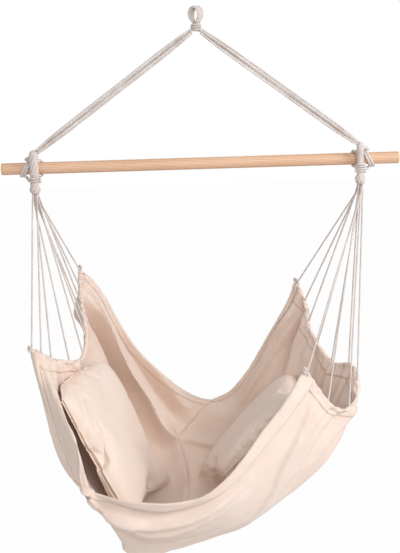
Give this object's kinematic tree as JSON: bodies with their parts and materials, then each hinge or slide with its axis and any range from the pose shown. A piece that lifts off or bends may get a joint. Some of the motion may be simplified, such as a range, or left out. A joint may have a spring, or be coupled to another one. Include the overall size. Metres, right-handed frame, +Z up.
{
  "type": "hammock chair",
  "caption": "Hanging cotton canvas hammock chair with loose square cushions, hung by fans of cords from a round wooden spreader bar and a looped hanging point.",
  "frame": {"origin": "the point inside the hanging loop that bears on the hook", "axes": "+X along the bar to the viewer's right, -Y towards the viewer and +Z up"},
  "size_m": [1, 0.5883, 1.3469],
  "materials": {
    "wood": "satin",
    "cotton_cord": "matte",
    "seat_canvas": "matte",
    "cushion_canvas": "matte",
    "zip_tape": "matte",
    "wadding": "matte"
  },
  "bodies": {
    "hook_loop": {"hanging_loop": "cotton_cord"},
    "throat_middle": {"throat_core": "cotton_cord"},
    "throat_wrap": {"throat_winding": "cotton_cord"},
    "spreader": {"left_bridle_cord_1": "cotton_cord", "left_bridle_cord_2": "cotton_cord", "left_bridle_cord_3": "cotton_cord", "left_bridle_cord_4": "cotton_cord", "left_hitch_ring": "cotton_cord", "left_hitch_strand": "cotton_cord", "left_neck": "cotton_cord", "left_neck_winding": "cotton_cord", "right_bridle_cord_1": "cotton_cord", "right_bridle_cord_2": "cotton_cord", "right_bridle_cord_3": "cotton_cord", "right_bridle_cord_4": "cotton_cord", "right_hitch_ring": "cotton_cord", "right_hitch_strand": "cotton_cord", "right_neck": "cotton_cord", "right_neck_winding": "cotton_cord"},
    "bar": {"spreader_bar": "wood"},
    "seat": {"left_back_knot": "cotton_cord", "left_edge_band": "seat_canvas", "left_edge_rope": "cotton_cord", "left_fan_cord_1": "cotton_cord", "left_fan_cord_10": "cotton_cord", "left_fan_cord_2": "cotton_cord", "left_fan_cord_3": "cotton_cord", "left_fan_cord_4": "cotton_cord", "left_fan_cord_5": "cotton_cord", "left_fan_cord_6": "cotton_cord", "left_fan_cord_7": "cotton_cord", "left_fan_cord_8": "cotton_cord", "left_fan_cord_9": "cotton_cord", "left_front_knot": "cotton_cord", "right_back_knot": "cotton_cord", "right_edge_band": "seat_canvas", "right_edge_rope": "cotton_cord", "right_fan_cord_1": "cotton_cord", "right_fan_cord_10": "cotton_cord", "right_fan_cord_2": "cotton_cord", "right_fan_cord_3": "cotton_cord", "right_fan_cord_4": "cotton_cord", "right_fan_cord_5": "cotton_cord", "right_fan_cord_6": "cotton_cord", "right_fan_cord_7": "cotton_cord", "right_fan_cord_8": "cotton_cord", "right_fan_cord_9": "cotton_cord", "right_front_knot": "cotton_cord", "seat_cloth": "seat_canvas"},
    "left_cushion": {"left_cushion_cover": "cushion_canvas", "left_cushion_filling": "wadding", "left_cushion_zip": "zip_tape"},
    "right_cushion": {"right_cushion_cover": "cushion_canvas", "right_cushion_filling": "wadding", "right_cushion_zip": "zip_tape"}
  },
  "joints": [
    {"name": "chair_twist", "type": "hinge", "parent": "hook_loop", "child": "throat_middle", "pos_m": [0, 0, -0.047], "axis": [0, 0, 1], "range_deg": [-90, 90]},
    {"name": "chair_sway", "type": "hinge", "parent": "throat_middle", "child": "throat_wrap", "pos_m": [0, 0, -0.047], "axis": [0, 1, 0], "range_deg": [-15, 15]},
    {"name": "chair_swing", "type": "hinge", "parent": "throat_wrap", "child": "spreader", "pos_m": [0, 0, -0.047], "axis": [1, 0, 0], "range_deg": [-25, 25]},
    {"name": "bar_roll", "type": "hinge", "parent": "spreader", "child": "bar", "pos_m": [0, 0.0296, -0.382], "axis": [1, 0, 0], "continuous": true},
    {"name": "seat_swing", "type": "hinge", "parent": "spreader", "child": "seat", "pos_m": [0, 0, -0.432], "axis": [1, 0, 0], "range_deg": [-20, 20]},
    {"name": "left_cushion_lift", "type": "slide", "parent": "seat", "child": "left_cushion", "axis": [0.3, 0, 0.9539], "range_m": [0, 0.25]},
    {"name": "right_cushion_lift", "type": "slide", "parent": "seat", "child": "right_cushion", "axis": [-0.05, 0, 0.9987], "range_m": [0, 0.4]}
  ]
}
